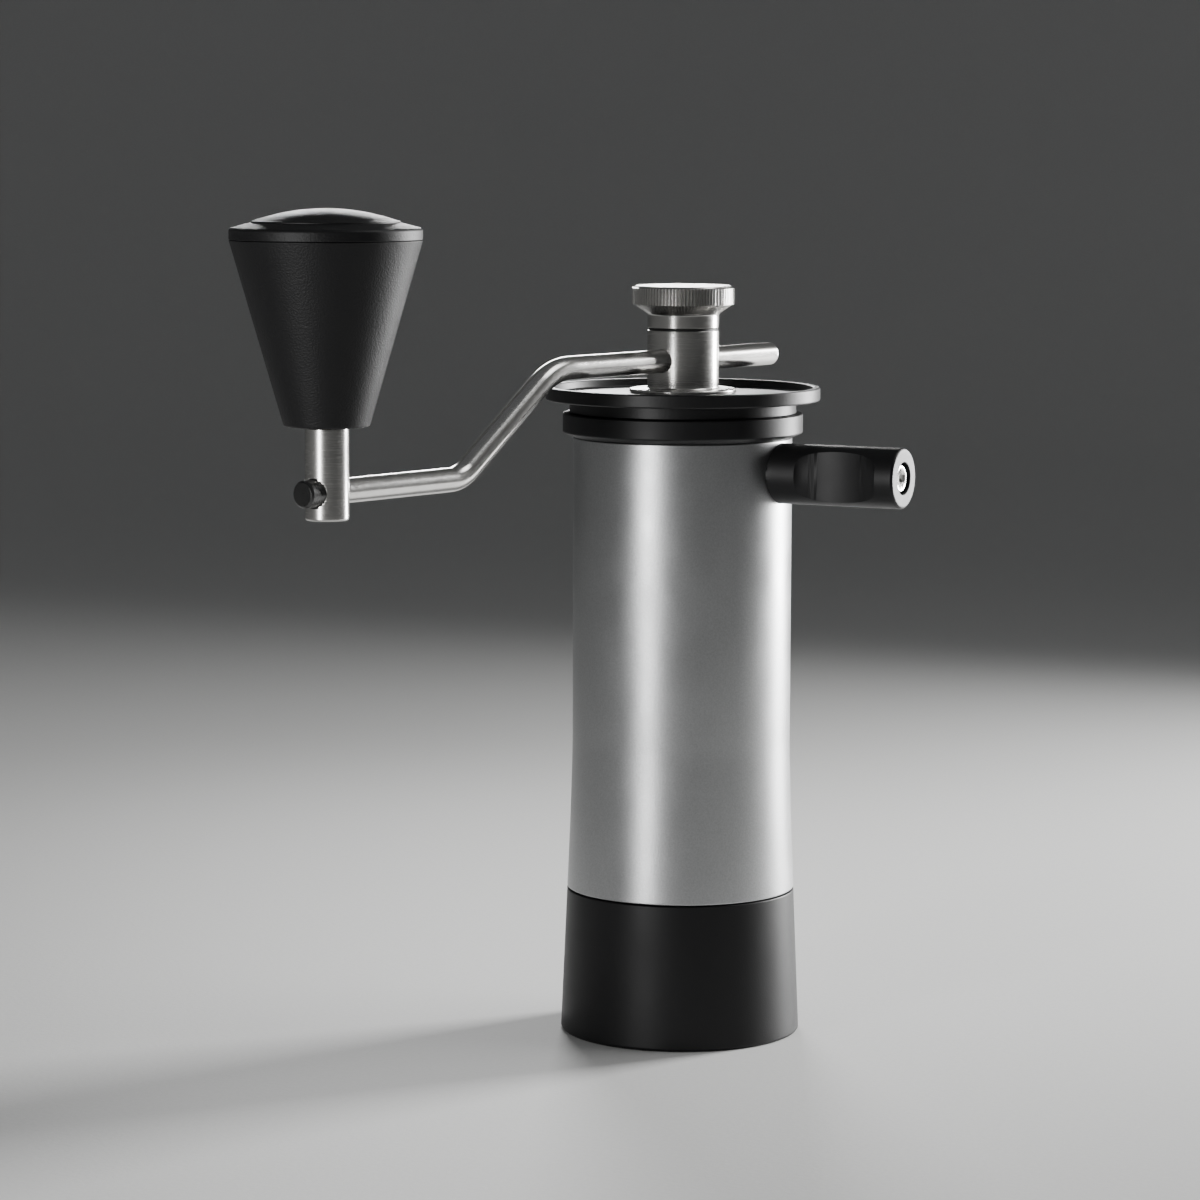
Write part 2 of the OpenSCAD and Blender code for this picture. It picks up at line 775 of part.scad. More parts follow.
module crank_hub() {
    hub_r = hub_d / 2;
    color("#cfd1d3") difference() {
        union() {
            translate([0, 0, shank_bottom]) cylinder(r = shank_r, h = hub_bottom - shank_bottom + eps);
            rotate_extrude() polygon([
                [0, hub_bottom],
                [hub_flange_d / 2, hub_bottom],
                [hub_flange_d / 2, flange_top - 0.5],
                [hub_flange_d / 2 - 0.5, flange_top],
                [hub_r + 0.5, flange_top],
                [hub_r, flange_top + 0.5],
                [hub_r, hub_top],
                [0, hub_top],
            ]);
        }
        translate([0, 0, shank_bottom - 1]) hex_bar(hex_w + 2 * run_fit, hex_top - shank_bottom + 2);
        translate([0, 0, rod_z]) cylinder(r = clamp_screw_r, h = hub_top);
        on_arm(0, rod_z) rotate([0, 90, 0]) cylinder(r = rod_r + run_fit, h = 2 * hub_d, center = true);
        translate([0, 0, shank_bottom + 0.5]) ring(shank_r + 1, shank_r - 0.5, lid_clip_h + 0.1);
    }
}

module hub_circlip() {
    color("#303236") translate([0, 0, shank_bottom + 0.55])
        circlip(shank_r - 0.5 + eps, bush_r - 0.2, lid_clip_h);
}

module clamp_washer() {
    color("#1b1b1d") translate([0, 0, hub_top]) ring(hub_d / 2 - 0.3, clamp_screw_r + slip_fit, washer_t);
}

module clamp_knob() {
    tip_z = rod_z + rod_r + run_fit;
    neck_r = hub_d / 2;
    ribs = [for (i = [0:2 * clamp_ribs - 1])
        let (a = i * 180 / clamp_ribs, r = clamp_r - (i % 2) * rib_depth) [r * cos(a), r * sin(a)]];
    color("#d4d6d8") {
        translate([0, 0, tip_z]) cylinder(r = clamp_screw_r - run_fit, h = clamp_bottom - tip_z + eps);
        translate([0, 0, clamp_bottom]) cylinder(r = neck_r, h = clamp_neck_h + eps);
        translate([0, 0, clamp_neck_top])
            cylinder(r1 = neck_r, r2 = clamp_r - rib_depth, h = clamp_cone_h + eps);
        translate([0, 0, clamp_knurl_z]) linear_extrude(clamp_knurl_h) polygon(ribs);
        translate([0, 0, clamp_knurl_top - eps])
            cylinder(r1 = clamp_r - rib_depth, r2 = clamp_r - rib_depth - clamp_edge, h = clamp_edge);
    }
}

// A bend in the arm's plane, turning by rod_slope; starts at the origin along +X, turning down.
// It is a hair thinner than the straights and runs a little way into them.
module rod_bend(bend_r) {
    lap = 1;
    translate([0, 0, -bend_r]) rotate([90, 0, 0]) rotate([0, 0, 90 - rod_slope - lap])
        rotate_extrude(angle = rod_slope + 2 * lap) translate([bend_r, 0]) circle(r = rod_r - eps);
}

module rod_straight(l) {
    rotate([0, 90, 0]) cylinder(r = rod_r, h = l);
}

module crank_rod() {
    tangent_1 = bend_1_r * tan(rod_slope / 2);
    tangent_2 = bend_2_r * tan(rod_slope / 2);
    slant_l = sqrt(pow(bend_2 - bend_1, 2) + pow(rod_drop, 2)) - tangent_1 - tangent_2;
    far_end = crank_r + rod_cap_start;
    end_edge = 0.8;
    color("#d4d6d8") on_arm(0, rod_z) {
        translate([-rod_stub, 0, 0]) rotate([0, 90, 0])
            cylinder(r1 = rod_r - end_edge, r2 = rod_r, h = end_edge);
        translate([end_edge - rod_stub, 0, 0]) rod_straight(rod_stub - end_edge + bend_1 - tangent_1);
        translate([bend_1 - tangent_1, 0, 0]) rod_bend(bend_1_r);
        translate([bend_1, 0, 0]) rotate([0, rod_slope, 0]) translate([tangent_1, 0, 0])
            rod_straight(slant_l);
        translate([bend_2 + tangent_2, 0, -rod_drop]) mirror([1, 0, 0]) mirror([0, 0, 1])
            rod_bend(bend_2_r);
        translate([bend_2 + tangent_2, 0, -rod_drop]) rod_straight(far_end - bend_2 - tangent_2);
        translate([far_end - eps, 0, -rod_drop]) rotate([0, 90, 0]) cylinder(r = rod_thread_r, h = 4);
    }
}

module crank_stem() {
    edge = 0.5;
    color("#cfd1d3") difference() {
        on_arm(crank_r) rotate_extrude() polygon([
            [0, stem_bottom],
            [stem_r - edge, stem_bottom],
            [stem_r, stem_bottom + edge],
            [stem_r, stem_top],
            [0, stem_top],
        ]);
        on_arm(crank_r, rod_low_z) rotate([0, 90, 0]) cylinder(r = rod_r, h = 2 * stem_d, center = true);
        on_arm(crank_r + rod_cap_start, rod_low_z) rotate([0, 90, 0]) cylinder(r = rod_cap_r, h = stem_d);
        on_arm(crank_r, stem_top - axle_thread_l) cylinder(r = axle_thread_r, h = axle_thread_l + 1);
    }
}

module rod_end_cap() {
    edge = 0.5;
    l = rod_cap_end - rod_cap_start;
    color("#d4d6d8") on_arm(crank_r + rod_cap_start, rod_low_z) rotate([0, 90, 0]) difference() {
        union() {
            cylinder(r = rod_cap_r, h = l - edge);
            translate([0, 0, l - edge]) cylinder(r1 = rod_cap_r, r2 = rod_cap_r - edge, h = edge);
        }
        translate([0, 0, -1]) cylinder(r = rod_thread_r, h = 5);
    }
}

module knob_axle() {
    color("#c8cacc") difference() {
        on_arm(crank_r) union() {
            translate([0, 0, stem_top - axle_thread_l + 0.5])
                cylinder(r = axle_thread_r, h = axle_thread_l);
            translate([0, 0, stem_top]) cylinder(r = axle_r, h = axle_top - stem_top);
            translate([0, 0, axle_top - eps]) cylinder(r = axle_head_r, h = axle_head_h);
        }
        on_arm(crank_r, axle_top + axle_head_h / 2) hex_bar(4, axle_head_h);
    }
}

module knob_foot_washer() {
    color("#e8e4da") on_arm(crank_r, stem_top) ring(stem_r - 0.3, axle_r + run_fit, gap - run_fit);
}

module knob_head_washer() {
    color("#c8cacc") on_arm(crank_r, axle_top - head_washer_t - 2 * eps)
        ring(axle_head_r, axle_r + run_fit, head_washer_t);
}

module knob_shell() {
    edge = 0.6;
    hollow_share = (knob_hollow_z - knob_bottom) / knob_h;
    hollow_r = knob_foot_r + (knob_shell_top_r - knob_foot_r) * hollow_share - knob_wall;
    color("#161618") on_arm(crank_r) difference() {
        rotate_extrude() polygon([
            [0, knob_bottom],
            [knob_foot_r - edge, knob_bottom],
            [knob_foot_r, knob_bottom + edge],
            [knob_shell_top_r, shell_top],
            [knob_shell_top_r - knob_wall, shell_top],
            [hollow_r, knob_hollow_z],
            [knob_tube_r, knob_hollow_z],
            [knob_tube_r, knob_tube_top],
            [0, knob_tube_top],
        ]);
        translate([0, 0, knob_bottom - 1]) cylinder(r = axle_r + 1, h = knob_h);
        for (z = [knob_bottom - 1, knob_tube_top - bush_l])
            translate([0, 0, z]) cylinder(r = knob_bush_r, h = bush_l + 1);
    }
}

module knob_cap() {
    soft = 0.8;
    step_r = knob_r * 0.77;
    step_z = cap_rim_top + knob_dome_h * 0.36;
    dome_steps = 6;
    skin = 1.6;
    plug_h = 2;
    plug_r = knob_shell_top_r - knob_wall - slip_fit;
    plug_taper = (plug_h - part_line) * (knob_shell_top_r - knob_foot_r) / knob_h;
    dome = [for (i = [1:dome_steps]) let (t = i / dome_steps)
        [step_r * (1 - t), step_z + (knob_top - step_z) * (1 - pow(1 - t, 2))]];
    color("#161618") on_arm(crank_r) difference() {
        rotate_extrude() polygon(concat(
            [
                [0, cap_bottom - plug_h],
                [plug_r - plug_taper, cap_bottom - plug_h],
                [plug_r, cap_bottom],
                [knob_r - soft, cap_bottom],
                [knob_r, cap_bottom + soft],
                [knob_r, cap_rim_top - soft],
                [knob_r - soft, cap_rim_top],
                [step_r, step_z - 0.25],
                [step_r, step_z],
            ],
            dome
        ));
        translate([0, 0, cap_bottom - plug_h - 1])
            cylinder(r = plug_r - 2, h = plug_h + 1.6 + knob_rim_h - skin);
    }
}

module knob_lower_bush() {
    color("#b08d57") on_arm(crank_r, knob_bottom) ring(knob_bush_r, axle_r + run_fit, bush_l);
}

module knob_upper_bush() {
    color("#b08d57") on_arm(crank_r, knob_tube_top - bush_l) ring(knob_bush_r, axle_r + run_fit, bush_l);
}

// ---------- the pieces ----------

catch_cup();
cup_steel_ring();
body_tube();
hopper_collar();
hand_peg();
peg_screw();
peg_dowel();
upper_spider();
upper_bearing_outer_race();
lower_spider();
lower_bearing_outer_race();
ring_burr();
burr_carrier();
burr_screws();
cup_magnets();
upper_bearing_balls();
upper_bearing_cage();
lower_bearing_balls();
lower_bearing_cage();
spindle();
upper_bearing_inner_race();
lower_bearing_inner_race();
spindle_circlip();
cone_burr();
burr_spring();
click_balls();
click_springs();
grind_dial();
lid();
lid_bush();
lid_seal();
crank_hub();
hub_circlip();
clamp_washer();
clamp_knob();
crank_rod();
crank_stem();
rod_end_cap();
knob_axle();
knob_foot_washer();
knob_head_washer();
knob_shell();
knob_cap();
knob_lower_bush();
knob_upper_bush();
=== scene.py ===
"""A hand crank coffee grinder on a pale table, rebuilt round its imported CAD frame."""

import json
import math

import bmesh
import bpy
from mathutils import Matrix, Vector


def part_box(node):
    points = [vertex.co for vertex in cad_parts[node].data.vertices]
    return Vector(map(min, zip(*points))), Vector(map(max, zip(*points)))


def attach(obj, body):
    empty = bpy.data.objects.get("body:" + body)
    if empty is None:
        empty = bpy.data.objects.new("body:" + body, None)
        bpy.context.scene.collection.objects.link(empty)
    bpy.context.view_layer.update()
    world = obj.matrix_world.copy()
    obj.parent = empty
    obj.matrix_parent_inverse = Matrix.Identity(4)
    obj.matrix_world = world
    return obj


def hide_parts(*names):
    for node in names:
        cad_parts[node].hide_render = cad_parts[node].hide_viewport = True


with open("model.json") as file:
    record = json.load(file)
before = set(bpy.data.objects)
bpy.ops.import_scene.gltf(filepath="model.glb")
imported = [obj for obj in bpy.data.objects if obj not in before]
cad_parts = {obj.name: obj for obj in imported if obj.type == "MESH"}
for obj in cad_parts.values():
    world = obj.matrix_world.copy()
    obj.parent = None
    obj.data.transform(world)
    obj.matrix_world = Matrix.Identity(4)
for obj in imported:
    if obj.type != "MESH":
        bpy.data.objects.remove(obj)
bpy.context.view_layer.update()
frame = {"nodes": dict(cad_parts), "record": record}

MM = 0.001
TURN = 2 * math.pi
# Sides of a round piece
FINE = 256
# Points of a cut mesh that lie this close become one
MERGE = 0.008 * MM
# An edge sharper than this angle, in degrees, isn't shaded smooth
SHARP_ANGLE = 32


# ---------- measures read from the frame ----------

def node_box(name):
    """Lowest corner, highest corner and centre of a CAD node."""
    low, high = (Vector(corner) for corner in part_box(name))
    return low, high, (low + high) / 2


_, cup_high, _ = node_box("catch_cup")
tube_low, tube_high, _ = node_box("body_tube")
collar_low, collar_high, _ = node_box("hopper_collar")
lid_low, lid_high, _ = node_box("lid")
hub_low, hub_high, _ = node_box("crank_hub")
clamp_low, clamp_high, _ = node_box("clamp_knob")
stem_low, stem_high, stem_mid = node_box("crank_stem")
end_low, end_high, _ = node_box("rod_end_cap")
shell_low, shell_high, _ = node_box("knob_shell")
cap_low, cap_high, _ = node_box("knob_cap")
peg_low, peg_high, peg_mid = node_box("hand_peg")
screw_low, screw_high, _ = node_box("peg_screw")

# The crank arm runs outwards along this direction at rest
arm_dir = Vector((stem_mid.x, stem_mid.y, 0)).normalized()
arm_angle = math.atan2(arm_dir.y, arm_dir.x)
knob_spot = Vector((stem_mid.x, stem_mid.y, 0))


# ---------- camera, floor and lights ----------

def aim(obj, target):
    """Turns a light or camera towards a point."""
    obj.rotation_mode = "QUATERNION"
    obj.rotation_quaternion = (Vector(target) - obj.location).to_track_quat("-Z", "Y")


def around_axis(azimuth, distance, height):
    """A point seen from the spindle's axis: azimuth 0 lies towards -Y, 90 towards +X."""
    a = math.radians(azimuth)
    return Vector((distance * math.sin(a), -distance * math.cos(a), height))


CAMERA_AZIMUTH = 26.1
CAMERA_DISTANCE = 1.066
CAMERA_HEIGHT = 0.238
CAMERA_DIP = math.radians(6.66)
CAMERA_TURN = math.radians(1.15)
CAMERA_ROLL = math.radians(0.17)
CAMERA_LENS = 123


def make_camera():
    """A long lens, a little above the lid and looking slightly down, as in the picture."""
    data = bpy.data.cameras.new("camera")
    data.lens = CAMERA_LENS
    data.sensor_width = 36
    cam = bpy.data.objects.new("camera", data)
    bpy.context.collection.objects.link(cam)
    cam.location = around_axis(CAMERA_AZIMUTH, CAMERA_DISTANCE, CAMERA_HEIGHT)
    heading = math.radians(CAMERA_AZIMUTH) + CAMERA_TURN
    turn = Matrix.Rotation(heading, 4, "Z") @ Matrix.Rotation(math.pi / 2 - CAMERA_DIP, 4, "X")
    cam.rotation_mode = "QUATERNION"
    cam.rotation_quaternion = (turn @ Matrix.Rotation(CAMERA_ROLL, 4, "Z")).to_quaternion()
    bpy.context.scene.camera = cam


def area_light(name, azimuth, distance, height, size, power, target_z=0.12, depth=None, spread=150):
    """A soft rectangular light aimed at the grinder. spread is the width of its beam in degrees."""
    data = bpy.data.lights.new(name, "AREA")
    data.shape = "RECTANGLE"
    data.size = size
    data.size_y = depth or size
    data.energy = power
    data.spread = math.radians(spread)
    light = bpy.data.objects.new(name, data)
    light.visible_camera = False
    bpy.context.collection.objects.link(light)
    light.location = around_axis(azimuth, distance, height)
    aim(light, (0, 0, target_z))
    return light


def make_lights():
    """A bright panel behind on the right, a narrow strip in front, a weak strip behind and one panel above."""
    area_light(
        "rim_panel", azimuth=150, distance=0.85, height=0.26, size=0.24, power=10, depth=0.5, spread=120,
    )
    area_light(
        "front_strip", azimuth=-9, distance=0.62, height=0.24, size=0.09, power=0.3,
        target_z=0.24, depth=0.46, spread=60,
    )
    area_light(
        "back_strip", azimuth=213, distance=1.0, height=0.42, size=0.3, power=0.4,
        target_z=0.17, depth=0.1, spread=50,
    )
    area_light("top_panel", azimuth=120, distance=0.8, height=1.3, size=0.6, power=0.8, spread=70)
    world = bpy.data.worlds.new("studio")
    world.use_nodes = True
    background = world.node_tree.nodes["Background"]
    background.inputs["Color"].default_value = (0.9, 0.92, 0.95, 1)
    background.inputs["Strength"].default_value = 0.12
    bpy.context.scene.world = world


make_camera()
make_lights()


# ---------- materials ----------

def principled(name, color, metallic, roughness, specular=0.5):
    """A new material, its node tree and its main shader."""
    mat = bpy.data.materials.new(name)
    mat.use_nodes = True
    tree = mat.node_tree
    shader = tree.nodes["Principled BSDF"]
    shader.inputs["Base Color"].default_value = (*color, 1)
    shader.inputs["Metallic"].default_value = metallic
    shader.inputs["Roughness"].default_value = roughness
    shader.inputs["Specular IOR Level"].default_value = specular
    return mat, tree, shader


def noise(tree, scale, detail=3, stretch=(1, 1, 1), rough=0.55):
    """A noise pattern in the piece's own space: scale is in cycles a metre, stretch changes it by axis."""
    coord = tree.nodes.new("ShaderNodeTexCoord")
    mapping = tree.nodes.new("ShaderNodeMapping")
    mapping.inputs["Scale"].default_value = stretch
    tex = tree.nodes.new("ShaderNodeTexNoise")
    tex.inputs["Scale"].default_value = scale
    tex.inputs["Detail"].default_value = detail
    tex.inputs["Roughness"].default_value = rough
    tree.links.new(coord.outputs["Object"], mapping.inputs["Vector"])
    tree.links.new(mapping.outputs["Vector"], tex.inputs["Vector"])
    return tex.outputs["Fac"]


def spread(tree, source, low, high):
    """Maps a pattern's middle range onto low to high."""
    node = tree.nodes.new("ShaderNodeMapRange")
    node.inputs["From Min"].default_value = 0.3
    node.inputs["From Max"].default_value = 0.7
    node.inputs["To Min"].default_value = low
    node.inputs["To Max"].default_value = high
    tree.links.new(source, node.inputs["Value"])
    return node.outputs["Result"]


def blend_colors(tree, factor, first, second):
    """A colour between first and second, by a pattern."""
    node = tree.nodes.new("ShaderNodeMix")
    node.data_type = "RGBA"
    node.inputs["A"].default_value = (*first, 1)
    node.inputs["B"].default_value = (*second, 1)
    tree.links.new(factor, node.inputs["Factor"])
    return node.outputs["Result"]


def bumps(tree, shader, layers):
    """Stacks bump layers, each (pattern, height in metres)."""
    normal = None
    for pattern, height in layers:
        node = tree.nodes.new("ShaderNodeBump")
        node.inputs["Strength"].default_value = 1
        node.inputs["Distance"].default_value = height
        tree.links.new(pattern, node.inputs["Height"])
        if normal:
            tree.links.new(normal, node.inputs["Normal"])
        normal = node.outputs["Normal"]
    tree.links.new(normal, shader.inputs["Normal"])


def shade(color, factor):
    """A colour made lighter or darker."""
    return tuple(min(1, c * factor) for c in color)


def blasted(name, color, metallic, roughness, grain=2600, height=0.02 * MM, specular=0.5):
    """A bead-blasted, anodised skin: fine grain, faint cloudiness and a roughness that wanders a little."""
    mat, tree, shader = principled(name, color, metallic, roughness, specular)
    fine = noise(tree, grain, detail=2)
    coarse = noise(tree, 60, detail=4)
    link = tree.links.new
    tone = blend_colors(tree, spread(tree, fine, 0.15, 0.85), shade(color, 0.88), shade(color, 1.14))
    link(tone, shader.inputs["Base Color"])
    link(spread(tree, coarse, roughness - 0.03, roughness + 0.04), shader.inputs["Roughness"])
    bumps(tree, shader, [(fine, height)])
    return mat


def turned(name, color, roughness, lines=9000, height=0.0012 * MM, along=(0.02, 0.02, 1)):
    """Metal turned on a lathe: fine rings round the axis, with faint scuffs."""
    mat, tree, shader = principled(name, color, 1, roughness)
    rings = noise(tree, lines, detail=2, stretch=along)
    scuffs = noise(tree, 180, detail=6)
    link = tree.links.new
    tone = blend_colors(tree, spread(tree, scuffs, 0, 1), shade(color, 0.93), shade(color, 1.05))
    link(tone, shader.inputs["Base Color"])
    link(spread(tree, rings, roughness - 0.03, roughness + 0.05), shader.inputs["Roughness"])
    bumps(tree, shader, [(rings, height), (scuffs, height / 2)])
    return mat


def moulded(name, color, roughness, grain=900, height=0.03 * MM):
    """Plastic, nylon or rubber with a soft moulded skin."""
    mat, tree, shader = principled(name, color, 0, roughness)
    skin = noise(tree, grain, detail=4)
    cloud = noise(tree, 40, detail=3)
    link = tree.links.new
    tone = blend_colors(tree, spread(tree, cloud, 0, 1), shade(color, 0.9), shade(color, 1.12))
    link(tone, shader.inputs["Base Color"])
    link(spread(tree, skin, roughness - 0.06, roughness + 0.06), shader.inputs["Roughness"])
    bumps(tree, shader, [(skin, height)])
    return mat


SILVER = (0.47, 0.475, 0.48)
BLACK = (0.007, 0.007, 0.0075)
STAINLESS = (0.66, 0.65, 0.63)
silver_skin = blasted("silver_anodised", SILVER, 1, 0.33, grain=2400)
black_skin = blasted("black_anodised", BLACK, 0, 0.42, grain=2600, specular=0.28)
knob_skin = blasted("black_anodised_knob", BLACK, 0, 0.44, grain=2200, height=0.09 * MM, specular=0.3)
dish_skin = blasted("black_anodised_lid", BLACK, 0, 0.40, grain=1500, height=0.03 * MM, specular=0.35)
turned_steel = turned("turned_stainless", STAINLESS, 0.24)
turned_face = turned("turned_stainless_knob", STAINLESS, 0.22)
# Painted shade: the stainless end cap is coloured nearly black, so its face reads as dark as a shaded metal
# face
end_steel_painted_shade = turned("turned_stainless_end_painted_shade", (0.11, 0.11, 0.11), 0.28)
polished_steel = turned(
    "polished_stainless", (0.70, 0.69, 0.67), 0.2, lines=1500, height=0.0004 * MM, along=(1, 1, 1),
)
hard_steel = turned("hardened_steel", (0.42, 0.42, 0.43), 0.34, lines=5000)
bearing_steel = turned("bearing_steel", (0.68, 0.68, 0.68), 0.16, lines=9000, height=0.002 * MM)
spring_steel = turned("spring_steel", (0.30, 0.30, 0.31), 0.3, lines=4000, along=(1, 1, 1))
black_oxide = turned("black_oxide", (0.05, 0.05, 0.052), 0.36, lines=3000)
machined_aluminium = turned("cast_aluminium", (0.52, 0.53, 0.54), 0.36, lines=4000, height=0.006 * MM)
bronze = turned("bronze", (0.50, 0.33, 0.14), 0.36, lines=4000, height=0.006 * MM)
nickel = turned("magnet_nickel", (0.58, 0.57, 0.54), 0.24, lines=3000)
seal_rubber = moulded("seal_rubber", (0.022, 0.022, 0.023), 0.62)
nylon = moulded("nylon", (0.78, 0.75, 0.68), 0.48)
black_nylon = moulded("black_nylon", (0.015, 0.015, 0.015), 0.5)

# The material of each slot in the record
SLOT_MATERIALS = {
    "silver_anodised": silver_skin,
    "black_aluminium": black_skin,
    "turned_stainless": turned_steel,
    "polished_stainless": polished_steel,
    "hardened_steel": hard_steel,
    "bearing_steel": bearing_steel,
    "spring_steel": spring_steel,
    "black_oxide": black_oxide,
    "cast_aluminium": machined_aluminium,
    "bronze": bronze,
    "magnet_nickel": nickel,
    "seal_rubber": seal_rubber,
    "nylon": nylon,
    "black_nylon": black_nylon,
}
SLOT_OF = {part["node"]: part["material_slot"] for part in frame["record"]["subparts"]}


# ---------- shape helpers ----------

def corner(before, at, after, radius, steps=8):
    """Points of an arc that rounds the corner at, limited by its two sides."""
    a, b, c = Vector(before), Vector(at), Vector(after)
    u, v = (a - b), (c - b)
    angle = u.angle(v)
    reach = min(radius / math.tan(angle / 2), 0.49 * u.length, 0.49 * v.length)
    radius = reach * math.tan(angle / 2)
    u.normalize()
    v.normalize()
    centre = b + (u + v).normalized() * (radius / math.sin(angle / 2))
    start, end = b + u * reach - centre, b + v * reach - centre
    points = []
    for i in range(steps + 1):
        mixed = start.lerp(end, i / steps)
        points.append(centre + mixed.normalized() * radius)
    return points


def rounded(outline, closed):
    """An outline of (r, z) or (r, z, rounding) points, with its rounded corners drawn as arcs."""
    flat = [Vector(p[:2]) for p in outline]
    out = []
    for i, p in enumerate(outline):
        inner = closed or 0 < i < len(outline) - 1
        if len(p) == 3 and inner:
            out += corner(flat[i - 1], flat[i], flat[(i + 1) % len(flat)], p[2])
        else:
            out.append(flat[i])
    return out


def finish_mesh(name, bm, material, place=Matrix.Identity(4)):
    """Turns a bmesh into a shaded object."""
    bmesh.ops.remove_doubles(bm, verts=bm.verts, dist=1e-7)
    bmesh.ops.recalc_face_normals(bm, faces=bm.faces)
    mesh = bpy.data.meshes.new(name)
    bm.to_mesh(mesh)
    bm.free()
    mesh.shade_smooth()
    mesh.set_sharp_from_angle(angle=math.radians(SHARP_ANGLE))
    mesh.materials.append(material)
    obj = bpy.data.objects.new(name, mesh)
    bpy.context.collection.objects.link(obj)
    obj.matrix_world = place
    weighted = obj.modifiers.new("even_shading", "WEIGHTED_NORMAL")
    weighted.keep_sharp = True
    return obj


def finer(points, step):
    """The same outline with extra points, so that no side is longer than step."""
    out = []
    for a, b in zip(points, points[1:]):
        parts = max(1, math.ceil((b - a).length / step))
        out += [a.lerp(b, i / parts) for i in range(parts)]
    return [*out, points[-1]]


def lathe(
    name, outline, material, closed=False, place=Matrix.Identity(4), segments=FINE, reach=None, step=None,
):
    """Spins an outline round Z.

    closed joins the outline's ends, reach(angle, point) may change a radius and step is the longest side.
    """
    points = rounded(outline, closed)
    if step:
        points = finer(points, step)
    bm = bmesh.new()
    rings = []
    for p in points:
        if p.x < 1e-8:
            rings.append([bm.verts.new((0, 0, p.y))] * segments)
            continue
        ring = []
        for k in range(segments):
            a = TURN * k / segments
            r = reach(a, p) if reach else p.x
            ring.append(bm.verts.new((r * math.cos(a), r * math.sin(a), p.y)))
        rings.append(ring)
    pairs = list(zip(rings, rings[1:]))
    if closed:
        pairs.append((rings[-1], rings[0]))
    for low, high in pairs:
        for k in range(segments):
            n = (k + 1) % segments
            corners = [low[k], low[n], high[n], high[k]]
            bm.faces.new(list(dict.fromkeys(corners)))
    return finish_mesh(name, bm, material, place)


def standing_at(spot):
    """Places a piece that was drawn round the origin at a spot on the table plan."""
    return Matrix.Translation((spot.x, spot.y, 0))


def along_arm(distance, z):
    """Places a piece drawn along +Z so that it lies along the crank arm."""
    return (
        Matrix.Rotation(arm_angle, 4, "Z")
        @ Matrix.Translation((distance, 0, z))
        @ Matrix.Rotation(math.pi / 2, 4, "Y")
    )


def stands_for(obj, body, *nodes):
    """The piece rides on a body in place of its CAD nodes, which are hidden."""
    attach(obj, body)
    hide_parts(*nodes)
    return obj


def cut(obj, cutter):
    """Takes one closed piece out of another and removes the cutter."""
    step = obj.modifiers.new("cut", "BOOLEAN")
    step.operation = "DIFFERENCE"
    step.solver = "MANIFOLD"
    step.object = cutter
    if "even_shading" in obj.modifiers:
        obj.modifiers.remove(obj.modifiers["even_shading"])
    bpy.context.view_layer.update()
    graph = bpy.context.evaluated_depsgraph_get()
    mesh = bpy.data.meshes.new_from_object(obj.evaluated_get(graph))
    bm = bmesh.new()
    bm.from_mesh(mesh)
    bmesh.ops.remove_doubles(bm, verts=bm.verts, dist=MERGE)
    bmesh.ops.dissolve_degenerate(bm, edges=bm.edges, dist=MERGE)
    bm.to_mesh(mesh)
    bm.free()
    obj.modifiers.clear()
    obj.data = mesh
    obj.data.shade_smooth()
    obj.data.set_sharp_from_angle(angle=math.radians(SHARP_ANGLE))
    bpy.data.objects.remove(cutter)
    return obj


def drill(name, radius, low, high, material, place=Matrix.Identity(4), sides=FINE):
    """A plain closed cylinder or prism, used as a cutter and drawn along +Z."""
    outline = [(0, low), (radius, low), (radius, high), (0, high)]
    return lathe(name, outline, material, place=place, segments=sides)


def hex_key(name, across, low, high, place=Matrix.Identity(4)):
    """A hexagonal cutter of a given width across its flats."""
    return drill(name, across / 2 / math.cos(math.pi / 6), low, high, black_skin, place=place, sides=6)


# ---------- sizes the pieces share ----------

# Roundings of edges, from crisp to soft
CRISP = 0.1 * MM
EDGE = 0.2 * MM
EASED = 0.3 * MM
SOFT = 0.35 * MM
BROKEN = 0.5 * MM
# Longest side on a piece that gets cut, so that its shading stays even
CUT_STEP = 0.6 * MM
# Gap between two shells that meet
FINE_GAP = 0.3 * MM
# Wall of the tube, and how much its bearing seats and its mouth are wider than its main bore
TUBE_WALL = 3 * MM
SEAT_STEP = 0.5 * MM
MOUTH_STEP = 1.5 * MM
# How much and over what height the tube flares out at its foot, and how sharply
FLARE = 1.3 * MM
FLARE_HEIGHT = 40 * MM
FLARE_POWER = 1.4
# Diameters of the crank's round bars
HUB_DIAMETER = 18.6 * MM
ROD_DIAMETER = 6 * MM
STEM_DIAMETER = 10.4 * MM
# Wall and floor of the cup
SPIGOT_WALL = 3.1 * MM
CUP_FLOOR = 3 * MM
cup_r = cup_high.x
joint_r = tube_high.x
joint_z = tube_low.z
body_r = joint_r - FLARE
body_top = tube_high.z
main_bore = body_r - TUBE_WALL
seat_bore = main_bore + SEAT_STEP
mouth_bore = seat_bore + MOUTH_STEP
collar_r = collar_high.x
lid_r = lid_high.x
hub_r = HUB_DIAMETER / 2
rod_r = ROD_DIAMETER / 2
rod_low, rod_high, _ = node_box("crank_rod")
rod_z = rod_high.z - rod_r
rod_low_z = rod_low.z + rod_r
crank_reach = knob_spot.length
stem_r = STEM_DIAMETER / 2
knob_r = (cap_high.x - cap_low.x) / 2


def tube_radius(z):
    """Outside radius of the tube, which flares out gently towards its foot."""
    rise = max(0, joint_z + FLARE_HEIGHT - z) / FLARE_HEIGHT
    return body_r + FLARE * rise ** FLARE_POWER


# ---------- floor ----------

